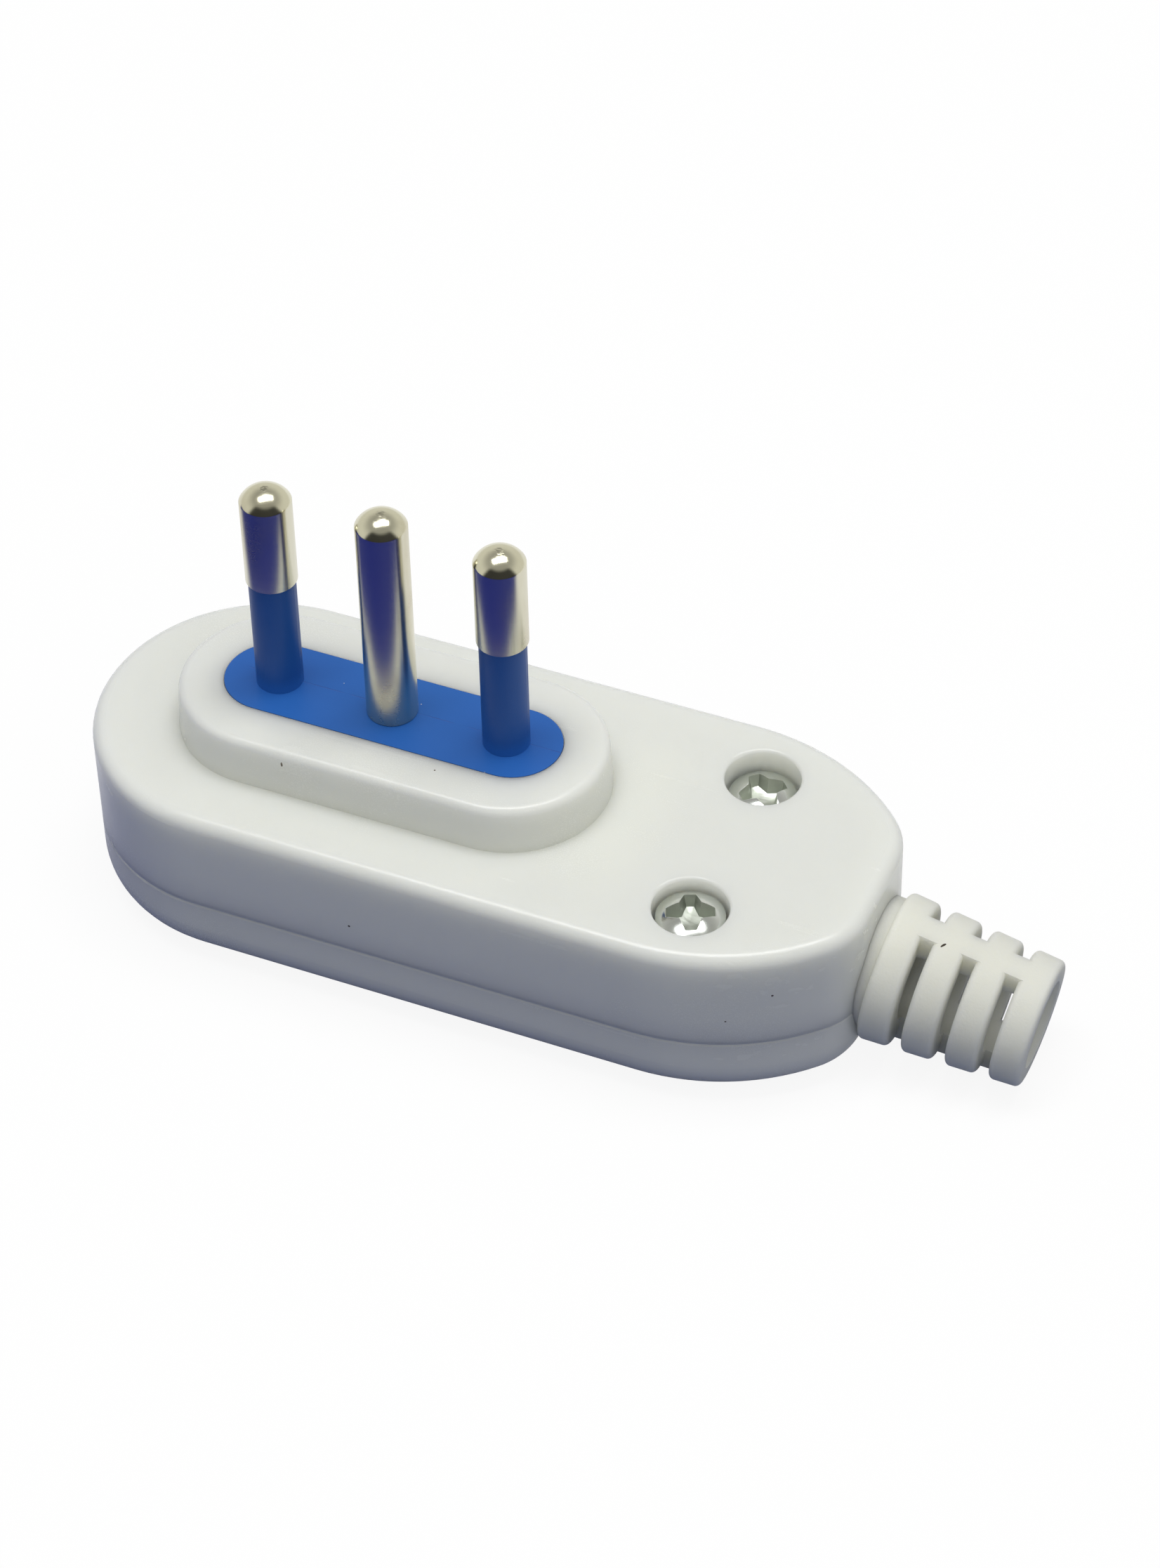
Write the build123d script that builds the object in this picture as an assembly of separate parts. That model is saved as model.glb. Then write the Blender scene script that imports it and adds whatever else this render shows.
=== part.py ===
"""Flat side-entry mains plug with three round pins in a row, rewirable, in millimetres.

Origin: centre of the earth pin on the face that meets the socket.
+Z runs along the pins, +X along the pin row towards the cord end, +Y is the far side.
"""

from build123d import *
import os
from math import atan2, cos, degrees, radians, sqrt

# Pins
pin_diameter = 4.0
pin_pitch = 9.5
line_pin_straight = 17.95
earth_pin_straight = 18.48
pin_dome_height = 1.15
sleeve_diameter = 3.66
sleeve_length = 10.3
sleeve_core_diameter = 2.4
pin_neck_diameter = 3.2
pin_anchor_diameter = 5.2
pin_anchor_depth = 1.5
pin_anchor_height = 1.5

# Terminal heads at the inner ends of the pins
terminal_diameter = 6.0
terminal_top_depth = 6.0
terminal_length = 7.2
terminal_chamfer = 0.4
wire_hole_diameter = 2.6
wire_hole_setback = 2.6

# Face insert that carries the pins
insert_length = 27.76
insert_width = 7.64
flange_thickness = 3.0
partition_thickness = 1.6
partition_width = 10.4
partition_depth = 14.0

# Raised oval round the pins
plateau_length = 35.2
plateau_width = 15.76
plateau_height = 4.1
plateau_draft_deg = 3.0
plateau_edge_radius = 0.7

# Housing outline, seen along the pins
body_width = 26.5
tail_centre_x = -11.35
shoulder_length = 15.0
shoulder_radius = 18.4
cord_face_x = 40.0
cord_corner_radius = 6.0

# Housing depth and walls
seam_depth = 13.0
cover_depth = 6.2
wall = 2.0
base_edge_radius = 1.1
back_edge_radius = 3.5
inner_corner_radius = 0.8
seam_edge_radius = 0.3
lip_height = 1.2
lip_thickness = 0.95

# Hook that holds the shells together at the tail
hook_width = 6.0
hook_thickness = 1.3
hook_rise = 3.4
hook_nose = 0.8
hook_nose_height = 1.2
hook_root = 1.5

# Stiffening ribs inside the front moulding
rib_thickness = 1.2
rib_lip_gap = 0.8
side_rib_reach = 2.2
side_rib_count = 4
side_rib_start_x = -12.0
side_rib_pitch = 8.0

# Housing screws, their wells and their nuts
housing_screw_grip_gap = 1.3
housing_screw_inset = 5.78
well_diameter = 5.9
well_depth = 2.8
well_rim_radius = 0.25
well_wall = 0.75
right_screw_backed_off = 0.8
screw_past_nut = 1.5
screw_tip_clearance = 0.3
nut_across_flats = 5.5
nut_height = 2.4
recess_turn_deg = {"left": 42.8, "right": 22.8}

# All screws have the same 3 mm thread
screw_diameter = 3.0
screw_hole_clearance = 0.15
pan_head_diameter = 5.3
pan_head_height = 1.9
pan_head_dome = 0.8
recess_span = 3.8
recess_arm_width = 1.0
recess_root_span = 1.7
recess_depth = 1.5
recess_draft_deg = 8.0
slot_head_diameter = 5.0
slot_head_height = 1.6
slot_width = 0.8
slot_depth = 0.8
terminal_screw_length = 4.6
terminal_screw_gap = 1.0

# Cord grip
grip_terminal_gap = 4.0
grip_width = 6.0
grip_thickness = 1.5
grip_cord_depth = 10.4
grip_ear_drop = 1.8
grip_ear_margin = 0.15
grip_head_gap = 0.25
grip_screw_length = 6.0
grip_post_diameter = 5.2
grip_ridge_height = 0.5
grip_ridge_width = 0.8
grip_ridge_count = 3
grip_corner_radius = 1.5
grip_hole_spare = 0.4

# Cord guard
cord_bore_diameter = 7.0
guard_depth = 12.5
guard_droop_deg = 7.5
guard_neck_diameter = 10.5
guard_groove_diameter = 8.8
guard_collar_diameter = 10.0
guard_collar_length = 2.2
guard_root_diameter = 11.84
guard_tip_diameter = 10.08
ring_count = 4
ring_width = 2.45
ring_gap = 1.0
ring_start = 0.33
ring_edge_radius = 0.45
upper_spine_width = 2.2
lower_spine_width = 3.4
guard_seam_turn_deg = 20.0

# Fits
insert_clearance = 0.06
flange_clearance = 0.15
hole_clearance = 0.1
lip_clearance = 0.05
hook_clearance = 0.2
nut_clearance = 0.1

# Places that follow from the sizes above
sides = {"left": 1, "right": -1}
shoulder_start_x = cord_face_x - shoulder_length
back_depth = seam_depth + cover_depth
ceiling_depth = plateau_height + wall
floor_depth = back_depth - wall
guard_frame = Location((cord_face_x, 0, -guard_depth), (0, guard_droop_deg, 0))
ring_pitch = ring_width + ring_gap
guard_length = ring_start + ring_count * ring_pitch - ring_gap
pin_places = {"neutral": -pin_pitch, "earth": 0.0, "live": pin_pitch}
terminal_bottom = terminal_top_depth + terminal_length
boss_diameter = well_diameter + 2 * well_wall
screw_hole_diameter = screw_diameter + 2 * screw_hole_clearance
screw_seat_depth = plateau_height + well_depth
screw_tip_depth = seam_depth + nut_height + screw_past_nut
housing_screw_spacing = body_width - 2 * housing_screw_inset
grip_x = pin_pitch + terminal_diameter / 2 + grip_terminal_gap + grip_width / 2
housing_screw_x = grip_x + grip_width / 2 + housing_screw_grip_gap + boss_diameter / 2
grip_ear_depth = grip_cord_depth + grip_ear_drop
grip_arch_radius = cord_bore_diameter / 2 + grip_thickness
grip_arch_foot = sqrt(grip_arch_radius**2 - (grip_ear_drop + grip_thickness) ** 2)
grip_screw_spacing = 2 * (grip_arch_foot + grip_head_gap) + pan_head_diameter
grip_length = grip_screw_spacing + pan_head_diameter + 2 * grip_ear_margin


def plan(inset):
    """Half-round tail, straight sides and rounded shoulders, moved inwards by inset."""
    half_width = body_width / 2 - inset
    shoulder_y = body_width / 2 - shoulder_radius
    corner_x = cord_face_x - cord_corner_radius
    reach = shoulder_radius - cord_corner_radius
    corner_y = shoulder_y + sqrt(reach**2 - (corner_x - shoulder_start_x) ** 2)
    turn = degrees(atan2(corner_x - shoulder_start_x, corner_y - shoulder_y))
    far_half = [
        CenterArc((tail_centre_x, 0), half_width, 180, -90),
        Line((tail_centre_x, half_width), (shoulder_start_x, half_width)),
        CenterArc((shoulder_start_x, shoulder_y), shoulder_radius - inset, 90, -turn),
        CenterArc((corner_x, corner_y), cord_corner_radius - inset, 90 - turn, turn - 90),
        Line((cord_face_x - inset, corner_y), (cord_face_x - inset, 0)),
    ]
    near_half = [edge.mirror(Plane.XZ) for edge in far_half]
    return make_face(far_half + near_half)


def prism(face, low_z, high_z):
    """A face of the XY plane made solid between two heights."""
    return Pos(0, 0, low_z) * extrude(face, amount=high_z - low_z)


def stadium(length, width):
    return SlotOverall(length, width)


def disc(diameter, low_z, high_z):
    return Pos(0, 0, low_z) * extrude(Circle(diameter / 2), amount=high_z - low_z)


def block(x_size, y_size, low_z, high_z):
    return Pos(0, 0, low_z) * extrude(Rectangle(x_size, y_size), amount=high_z - low_z)


def edges_at(solid, z):
    """The edges that lie wholly at one height."""
    return solid.edges().filter_by_position(Axis.Z, z, z)


def base_envelope():
    """Outside of the front moulding, before anything is hollowed out."""
    body = prism(plan(0), -seam_depth, -plateau_height)
    body = fillet(edges_at(body, -plateau_height), base_edge_radius)
    raised = Pos(0, 0, -plateau_height) * extrude(
        stadium(plateau_length, plateau_width), amount=plateau_height, taper=plateau_draft_deg
    )
    raised = fillet(edges_at(raised, 0), plateau_edge_radius)
    return body + raised


def cover_envelope():
    """Outside of the back cover, before it is hollowed out."""
    body = prism(plan(0), -back_depth, -seam_depth)
    body = fillet(edges_at(body, -back_depth), back_edge_radius)
    return fillet(edges_at(body, -seam_depth), seam_edge_radius)


def base_cavity():
    room = prism(plan(wall), -seam_depth, -ceiling_depth)
    room = fillet(edges_at(room, -ceiling_depth), inner_corner_radius)
    under_plateau = prism(stadium(plateau_length - 2 * wall, plateau_width - 2 * wall), -ceiling_depth, -wall)
    return room + under_plateau


def cover_cavity():
    room = prism(plan(wall), -floor_depth, -seam_depth)
    return fillet(edges_at(room, -floor_depth), back_edge_radius - wall)


def cord_passage(diameter):
    """A cylinder along the axis of the cord guard, long enough to pass the end wall."""
    reach = 2 * (wall + guard_collar_length)
    return guard_frame * (Rot(0, 90, 0) * disc(diameter, -reach, reach))


def tail_band(outer_inset, inner_inset, width, low_z, high_z):
    """A strip that follows the curve of the tail wall, centred on its middle."""
    strip = prism(plan(outer_inset) - plan(inner_inset), low_z, high_z)
    tail_half = Pos(tail_centre_x - body_width / 2, 0, 0) * block(body_width, width, low_z, high_z)
    return strip & tail_half


def cord_channel():
    """The room a cord takes in its grip; the ridges that bite into it are left out."""
    lying = Pos(grip_x, 0, -grip_cord_depth) * Rot(0, 90, 0)
    channel = disc(cord_bore_diameter, -grip_width, grip_width)
    for ridge in range(grip_ridge_count):
        middle = (ridge - (grip_ridge_count - 1) / 2) * grip_width / grip_ridge_count
        low, high = middle - grip_ridge_width / 2, middle + grip_ridge_width / 2
        ridge_bore = cord_bore_diameter - 2 * grip_ridge_height
        channel -= disc(cord_bore_diameter, low, high) - disc(ridge_bore, low, high)
    return lying * channel


def base_shell():
    """Front moulding: plateau, pin opening, screw wells, grip posts and hook recess."""
    rebate = wall - lip_thickness - lip_clearance
    opening = stadium(insert_length + 2 * insert_clearance, insert_width + 2 * insert_clearance)
    root = -plateau_height - wall / 2
    rib_foot = -seam_depth + lip_height + rib_lip_gap
    shell = base_envelope() - base_cavity()
    shell -= prism(plan(rebate), -seam_depth, -seam_depth + lip_height + lip_clearance)
    shell -= prism(opening, -ceiling_depth, 0)
    for side in sides.values():
        well = Pos(housing_screw_x, side * housing_screw_spacing / 2, 0)
        shell += well * disc(boss_diameter, -seam_depth, root)
        shell -= well * disc(well_diameter, -screw_seat_depth, 0)
        shell -= well * disc(screw_hole_diameter, -seam_depth, -screw_seat_depth)
        rib_reach = (body_width - housing_screw_spacing) / 2 - wall + rib_thickness / 2
        rib_middle = side * (housing_screw_spacing + rib_reach + boss_diameter / 2) / 2
        rib = block(rib_thickness, rib_reach - boss_diameter / 2, rib_foot, root)
        shell += Pos(housing_screw_x, rib_middle, 0) * rib
        for number in range(side_rib_count):
            rib_x = side_rib_start_x + number * side_rib_pitch
            rib_middle = side * (body_width / 2 - wall * 3 / 4 - side_rib_reach / 2)
            rib = block(rib_thickness, side_rib_reach + wall / 2, rib_foot, root)
            shell += Pos(rib_x, rib_middle, 0) * rib
    shell += Pos(grip_x, 0, 0) * block(grip_width, grip_screw_spacing, -grip_cord_depth, root)
    for side in sides.values():
        post = Pos(grip_x, side * grip_screw_spacing / 2, 0)
        shell += post * disc(grip_post_diameter, -grip_ear_depth, root)
        hole_top = -grip_ear_depth - grip_thickness + grip_screw_length + grip_hole_spare
        shell -= post * disc(screw_diameter, -grip_ear_depth, hole_top)
    shell -= cord_channel()
    nose_top = -seam_depth + hook_rise + hook_clearance
    nose_foot = nose_top - hook_nose_height - 2 * hook_clearance
    recess_inset = wall - hook_nose - hook_clearance
    recess_width = hook_width + 2 * hook_clearance
    shell -= tail_band(recess_inset, wall + hook_clearance, recess_width, nose_foot, nose_top)
    shell -= cord_passage(guard_groove_diameter)
    rims = edges_at(shell, -plateau_height).filter_by(GeomType.CIRCLE)
    rims = rims.filter_by(lambda edge: abs(edge.radius - well_diameter / 2) < 0.01)
    return fillet(rims, well_rim_radius)


def cover_shell():
    """Back cover: locating lip, nut bosses, ribs that press the pin carrier home, and hook."""
    shell = cover_envelope() - cover_cavity()
    lip_top = -seam_depth + lip_height
    shell += prism(plan(wall - lip_thickness) - plan(wall), -seam_depth, lip_top)
    for side in sides.values():
        boss = Pos(housing_screw_x, side * housing_screw_spacing / 2, 0)
        shell -= boss * disc(boss_diameter + 2 * hole_clearance, -seam_depth, lip_top)
        shell += boss * disc(boss_diameter, -back_depth + wall / 2, -seam_depth)
        pocket = RegularPolygon(nut_across_flats / 2 + nut_clearance, 6, major_radius=False)
        shell -= boss * prism(pocket, -seam_depth - nut_height, -seam_depth)
        shell -= boss * disc(screw_hole_diameter, -screw_tip_depth - screw_tip_clearance, -seam_depth)
    for side in sides.values():
        rib = block(partition_thickness, partition_width, -back_depth + wall / 2, -partition_depth)
        shell += Pos(side * pin_pitch / 2, 0, 0) * rib
    hook_outer = wall + hook_clearance
    hook_inner = hook_outer + hook_thickness
    hook_top = -seam_depth + hook_rise
    shell += tail_band(hook_outer, hook_inner, hook_width, -back_depth + wall / 2, hook_top)
    shell += tail_band(wall - lip_thickness, hook_inner, hook_width, -seam_depth - hook_root, lip_top)
    shell += tail_band(wall - hook_nose, hook_inner, hook_width, hook_top - hook_nose_height, hook_top)
    return shell - cord_passage(guard_groove_diameter)


def pin_carrier():
    """Blue insert: flush oval face, retaining flange, partitions and the two pin sleeves."""
    shrink = 2 * (wall + flange_clearance)
    carrier = prism(stadium(insert_length, insert_width), -wall, 0)
    flange = stadium(plateau_length - shrink, plateau_width - shrink)
    carrier += prism(flange, -wall - flange_thickness, -wall)
    for side in sides.values():
        partition = block(partition_thickness, partition_width, -partition_depth, -wall)
        carrier += Pos(side * pin_pitch / 2, 0, 0) * partition
    for name, place in pin_places.items():
        if name != "earth":
            carrier += Pos(place, 0, 0) * disc(sleeve_diameter, 0, sleeve_length)
        carrier -= pin(name)
    return carrier


def pin(name):
    """One turned pin with its domed tip, anchor collar and drilled terminal head."""
    earth = name == "earth"
    radius = pin_diameter / 2
    straight = earth_pin_straight if earth else line_pin_straight
    neck_radius = (pin_neck_diameter if earth else sleeve_core_diameter) / 2
    neck_top = 0 if earth else sleeve_length
    dome_radius = (radius**2 + pin_dome_height**2) / (2 * pin_dome_height)
    dome_start = degrees(atan2(dome_radius - pin_dome_height, radius))
    outline = Polyline(
        (0, straight + pin_dome_height),
        (0, -terminal_bottom),
        (terminal_diameter / 2 - terminal_chamfer, -terminal_bottom),
        (terminal_diameter / 2, -terminal_bottom + terminal_chamfer),
        (terminal_diameter / 2, -terminal_top_depth - terminal_chamfer),
        (terminal_diameter / 2 - terminal_chamfer, -terminal_top_depth),
        (pin_neck_diameter / 2, -terminal_top_depth),
        (pin_neck_diameter / 2, -pin_anchor_depth - pin_anchor_height),
        (pin_anchor_diameter / 2, -pin_anchor_depth - pin_anchor_height),
        (pin_anchor_diameter / 2, -pin_anchor_depth),
        (neck_radius, -pin_anchor_depth),
        (neck_radius, neck_top),
        (radius, neck_top),
        (radius, straight),
    )
    dome = CenterArc((0, straight + pin_dome_height - dome_radius), dome_radius, dome_start, 90 - dome_start)
    turned = revolve(Plane.XZ * make_face([outline, dome]), Axis.Z)
    wire_depth = terminal_top_depth + wire_hole_setback
    wire_hole = Rot(90, 0, 0) * disc(wire_hole_diameter, -terminal_diameter, terminal_diameter)
    thread = disc(screw_diameter, -terminal_bottom, -wire_depth)
    return Pos(pin_places[name], 0, 0) * (turned - Pos(0, 0, -wire_depth) * wire_hole - thread)


def pan_head_screw(length):
    """Domed head standing on z = 0, cross recess, shank below."""
    radius = pan_head_diameter / 2
    rim_height = pan_head_height - pan_head_dome
    dome_radius = (radius**2 + pan_head_dome**2) / (2 * pan_head_dome)
    dome_start = degrees(atan2(dome_radius - pan_head_dome, radius))
    outline = Polyline((0, pan_head_height), (0, 0), (radius, 0), (radius, rim_height))
    dome = CenterArc((0, pan_head_height - dome_radius), dome_radius, dome_start, 90 - dome_start)
    head = revolve(Plane.XZ * make_face([outline, dome]), Axis.Z)
    corners = []
    for quarter in range(4):
        arm = [(recess_span / 2, -recess_arm_width / 2), (recess_span / 2, recess_arm_width / 2)]
        arm.append((recess_root_span / 2, recess_root_span / 2))
        corners += [Vector(*corner).rotate(Axis.Z, 90 * quarter) for corner in arm]
    star = Pos(0, 0, pan_head_height) * make_face(Polyline(*corners, close=True))
    head -= extrude(star, amount=recess_depth, dir=(0, 0, -1), taper=recess_draft_deg)
    return head + disc(screw_diameter, -length, 0)


def slot_head_screw(length):
    """Cheese head standing on z = 0, driver slot, shank below."""
    head = disc(slot_head_diameter, 0, slot_head_height)
    head -= block(slot_head_diameter, slot_width, slot_head_height - slot_depth, slot_head_height)
    return head + disc(screw_diameter, -length, 0)


def housing_screw(side_name):
    side = sides[side_name]
    raised = right_screw_backed_off if side_name == "right" else 0
    place = Pos(housing_screw_x, side * housing_screw_spacing / 2, raised - screw_seat_depth)
    turned = Rot(0, 0, recess_turn_deg[side_name])
    return place * turned * pan_head_screw(screw_tip_depth - screw_seat_depth)


def housing_nut(side_name):
    nut = RegularPolygon(nut_across_flats / 2, 6, major_radius=False) - Circle(screw_diameter / 2)
    place = Pos(housing_screw_x, sides[side_name] * housing_screw_spacing / 2, 0)
    return place * prism(nut, -seam_depth - nut_height, -seam_depth)


def terminal_screw(name):
    place = Pos(pin_places[name], 0, -terminal_bottom - terminal_screw_gap)
    return place * Rot(180, 0, 0) * slot_head_screw(terminal_screw_length)


def cord_grip_bar():
    """Arched clamp bar with two ears, ridged where it bears on the cord."""
    ears_z = -grip_ear_depth - grip_thickness
    arch = Pos(grip_x - grip_width / 2, 0, -grip_cord_depth) * Rot(0, 90, 0)
    outline = RectangleRounded(grip_width, grip_length, grip_corner_radius)
    bar = Pos(grip_x, 0, 0) * prism(outline, ears_z, -grip_ear_depth)
    hoop = arch * disc(2 * grip_arch_radius, 0, grip_width)
    below_ears = Pos(grip_x, 0, 0) * block(grip_width, grip_length, -floor_depth, -grip_ear_depth)
    bar += hoop & below_ears
    bar -= cord_channel()
    for side in sides.values():
        hole = disc(screw_hole_diameter, ears_z, -grip_ear_depth)
        bar -= Pos(grip_x, side * grip_screw_spacing / 2, 0) * hole
    return bar


def cord_grip_screw(side_name):
    place = Pos(grip_x, sides[side_name] * grip_screw_spacing / 2, -grip_ear_depth - grip_thickness)
    return place * Rot(180, 0, 0) * pan_head_screw(grip_screw_length)


def cord_guard():
    """Slotted flexible sleeve: rings on two spines, neck, wall groove and inner collar.

    The start lines of its round faces are turned off its planes of symmetry, so that it can be cut there.
    """
    lying = Rot(guard_seam_turn_deg, 90, 0)

    def cone_radius(along):
        return (guard_root_diameter + (guard_tip_diameter - guard_root_diameter) * along / guard_length) / 2

    def sleeve(start, end, edge_radius):
        outer = [(start, cone_radius(start)), (end, cone_radius(end))]
        section = make_face(Polyline((end, 0), (start, 0), *outer, close=True))
        if edge_radius:
            section = fillet(section.vertices().sort_by(Axis.Y)[-2:], edge_radius)
        return Rot(guard_seam_turn_deg, 0, 0) * revolve(section, Axis.X)

    inner_end = -wall - guard_collar_length / cos(radians(guard_droop_deg))
    guard = lying * disc(guard_neck_diameter, -wall, ring_start + ring_width / 2)
    guard += lying * disc(guard_collar_diameter, inner_end, 0)
    for number in range(ring_count):
        start = ring_start + number * ring_pitch
        guard += sleeve(start, start + ring_width, ring_edge_radius)
    spine = sleeve(ring_start + ring_width / 2, guard_length - ring_width / 2, 0)
    guard += spine & block(4 * guard_length, upper_spine_width, 0, guard_root_diameter)
    guard += spine & block(4 * guard_length, lower_spine_width, -guard_root_diameter, 0)
    guard -= lying * disc(cord_bore_diameter, 2 * inner_end, 2 * guard_length)
    guard = guard_frame * guard
    housing_wall = base_envelope() + cover_envelope() - base_cavity() - cover_cavity()
    return guard - (housing_wall - cord_passage(guard_groove_diameter))


def pieces():
    yield "base_shell", base_shell()
    yield "cover_shell", cover_shell()
    yield "pin_carrier", pin_carrier()
    yield "cord_guard", cord_guard()
    yield "cord_grip_bar", cord_grip_bar()
    for name in pin_places:
        yield f"{name}_pin", pin(name)
        yield f"{name}_terminal_screw", terminal_screw(name)
    for side_name in sides:
        yield f"housing_screw_{side_name}", housing_screw(side_name)
        yield f"housing_nut_{side_name}", housing_nut(side_name)
        yield f"cord_grip_screw_{side_name}", cord_grip_screw(side_name)


os.makedirs("parts", exist_ok=True)
for node, piece in pieces():
    export_step(piece, f"parts/{node}.step")
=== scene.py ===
"""Looks of the flat three-pin mains plug: moulded case, blue pin insert, plated pins and slotted cord guard."""

from math import asin, cos, pi, radians, sin, tan

import bmesh
import bpy
from mathutils import Matrix, Vector


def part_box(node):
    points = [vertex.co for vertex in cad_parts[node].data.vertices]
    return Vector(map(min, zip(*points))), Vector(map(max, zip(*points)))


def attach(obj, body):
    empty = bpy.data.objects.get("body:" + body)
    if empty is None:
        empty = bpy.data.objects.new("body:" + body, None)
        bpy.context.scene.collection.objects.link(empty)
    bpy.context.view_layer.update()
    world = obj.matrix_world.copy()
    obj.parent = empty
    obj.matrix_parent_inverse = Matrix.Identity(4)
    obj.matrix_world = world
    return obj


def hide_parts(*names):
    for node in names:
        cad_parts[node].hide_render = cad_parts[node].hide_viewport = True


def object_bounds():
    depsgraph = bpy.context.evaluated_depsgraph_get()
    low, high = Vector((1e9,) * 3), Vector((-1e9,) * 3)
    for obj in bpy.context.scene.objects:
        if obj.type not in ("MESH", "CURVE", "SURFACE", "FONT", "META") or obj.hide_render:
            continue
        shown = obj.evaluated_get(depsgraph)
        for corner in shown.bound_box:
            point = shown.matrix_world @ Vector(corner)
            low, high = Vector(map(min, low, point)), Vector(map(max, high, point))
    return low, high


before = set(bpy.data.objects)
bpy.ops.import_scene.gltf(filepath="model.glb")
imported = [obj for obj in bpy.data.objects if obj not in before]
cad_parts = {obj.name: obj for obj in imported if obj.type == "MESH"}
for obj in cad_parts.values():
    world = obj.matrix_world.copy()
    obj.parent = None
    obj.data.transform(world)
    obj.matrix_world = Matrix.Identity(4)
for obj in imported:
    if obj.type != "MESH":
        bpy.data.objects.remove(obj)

cad_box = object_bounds()
MM = 0.001

# Pins and their terminal heads, in millimetres. Heights count from the face that meets the socket.
pin_pitch = 9.5
pin_radius, pin_dome, pin_edge = 2.0, 1.15, 0.06
crease_depth = 0.03
neck_radius = 1.6
anchor_radius, anchor_top, anchor_foot = 2.6, -1.5, -3.0
sleeve_core_radius, sleeve_top = 1.2, 10.3
terminal_radius, terminal_chamfer, terminal_top, terminal_foot = 3.0, 0.4, -6.0, -13.2
terminal_bore_radius = 1.5
wire_hole_radius, wire_hole_z = 1.3, -8.6

# Screws, in millimetres. Heights count from the underside of the head.
thread_radius, thread_pitch, thread_tooth, thread_runout = 1.5, 0.5, 0.24, 0.3
shank_radius, shank_tip_radius = 1.26, 1.0
pan_radius, pan_height, pan_dome, pan_edge = 2.65, 1.9, 0.8, 0.12
slot_head_radius, slot_head_height, slot_head_edge = 2.5, 1.6, 0.1
slot_width, slot_depth = 0.8, 0.8

FLOAT, COLOR, VECTOR = "NodeSocketFloat", "NodeSocketColor", "NodeSocketVector"


def shader_nodes(owner):
    """The emptied node tree of a material or of the world."""
    owner.use_nodes = True
    tree = owner.node_tree
    tree.nodes.clear()
    return tree


def link(tree, source, target):
    tree.links.new(source, target)


def feed(tree, value, socket):
    """Sets a number or a colour on a socket, or links another socket to it."""
    if isinstance(value, (int, float)):
        socket.default_value = value
    elif isinstance(value, tuple):
        socket.default_value = (*value, 1.0)
    else:
        link(tree, value, socket)


def math_node(tree, operation, first, second=None, third=None):
    node = tree.nodes.new("ShaderNodeMath")
    node.operation = operation
    for socket, value in zip(node.inputs, (first, second, third)):
        if value is not None:
            feed(tree, value, socket)
    return node.outputs[0]


def vector_math(tree, operation, first, second=None):
    """A step on vectors. The second value is a socket or a fixed direction."""
    node = tree.nodes.new("ShaderNodeVectorMath")
    node.operation = operation
    link(tree, first, node.inputs[0])
    if isinstance(second, tuple):
        node.inputs[1].default_value = second
    elif second is not None:
        link(tree, second, node.inputs["Scale"] if operation == "SCALE" else node.inputs[1])
    return node.outputs["Value" if operation in ("DOT_PRODUCT", "LENGTH") else "Vector"]


def separated(tree, vector):
    """The X, Y and Z of a vector, as sockets with those names."""
    node = tree.nodes.new("ShaderNodeSeparateXYZ")
    link(tree, vector, node.inputs[0])
    return node.outputs


def smooth_step(tree, value, low, high, out_low=0.0, out_high=1.0):
    node = tree.nodes.new("ShaderNodeMapRange")
    node.interpolation_type = "SMOOTHSTEP"
    link(tree, value, node.inputs["Value"])
    for name, number in zip(("From Min", "From Max", "To Min", "To Max"), (low, high, out_low, out_high)):
        feed(tree, number, node.inputs[name])
    return node.outputs["Result"]


def noise(tree, vector, scale, detail, roughness=0.5):
    node = tree.nodes.new("ShaderNodeTexNoise")
    link(tree, vector, node.inputs["Vector"])
    for name, value in zip(("Scale", "Detail", "Roughness"), (scale, detail, roughness)):
        feed(tree, value, node.inputs[name])
    return node.outputs["Fac"]


def mix_color(tree, factor, first, second, blend="MIX"):
    """Two colours mixed. A Mix node has its colours at inputs 6 and 7 and at output 2."""
    node = tree.nodes.new("ShaderNodeMix")
    node.data_type = "RGBA"
    node.blend_type = blend
    for index, value in ((0, factor), (6, first), (7, second)):
        feed(tree, value, node.inputs[index])
    return node.outputs[2]


def mix_shaders(tree, factor, first, second):
    node = tree.nodes.new("ShaderNodeMixShader")
    for socket, source in zip(node.inputs, (factor, first, second)):
        link(tree, source, socket)
    return node.outputs[0]


def background(tree, color, strength):
    node = tree.nodes.new("ShaderNodeBackground")
    feed(tree, color, node.inputs["Color"])
    feed(tree, strength, node.inputs["Strength"])
    return node.outputs[0]


def object_vector(tree):
    return tree.nodes.new("ShaderNodeTexCoord").outputs["Object"]


def stretched(tree, vector, rotation=(0, 0, 0), scale=(1, 1, 1)):
    node = tree.nodes.new("ShaderNodeMapping")
    node.inputs["Rotation"].default_value = rotation
    node.inputs["Scale"].default_value = scale
    link(tree, vector, node.inputs["Vector"])
    return node.outputs["Vector"]


def new_group(name, inputs, outputs):
    """A shader group that takes a vector. Its other sockets: (name, kind, default) in, (name, kind) out."""
    group = bpy.data.node_groups.new(name, "ShaderNodeTree")
    group.interface.new_socket("Vector", in_out="INPUT", socket_type=VECTOR)
    for socket_name, kind, default in inputs:
        socket = group.interface.new_socket(socket_name, in_out="INPUT", socket_type=kind)
        if default is not None:
            socket.default_value = default
    for socket_name, kind in outputs:
        group.interface.new_socket(socket_name, in_out="OUTPUT", socket_type=kind)
    start, end = group.nodes.new("NodeGroupInput"), group.nodes.new("NodeGroupOutput")
    return group, start.outputs, end.inputs


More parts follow.
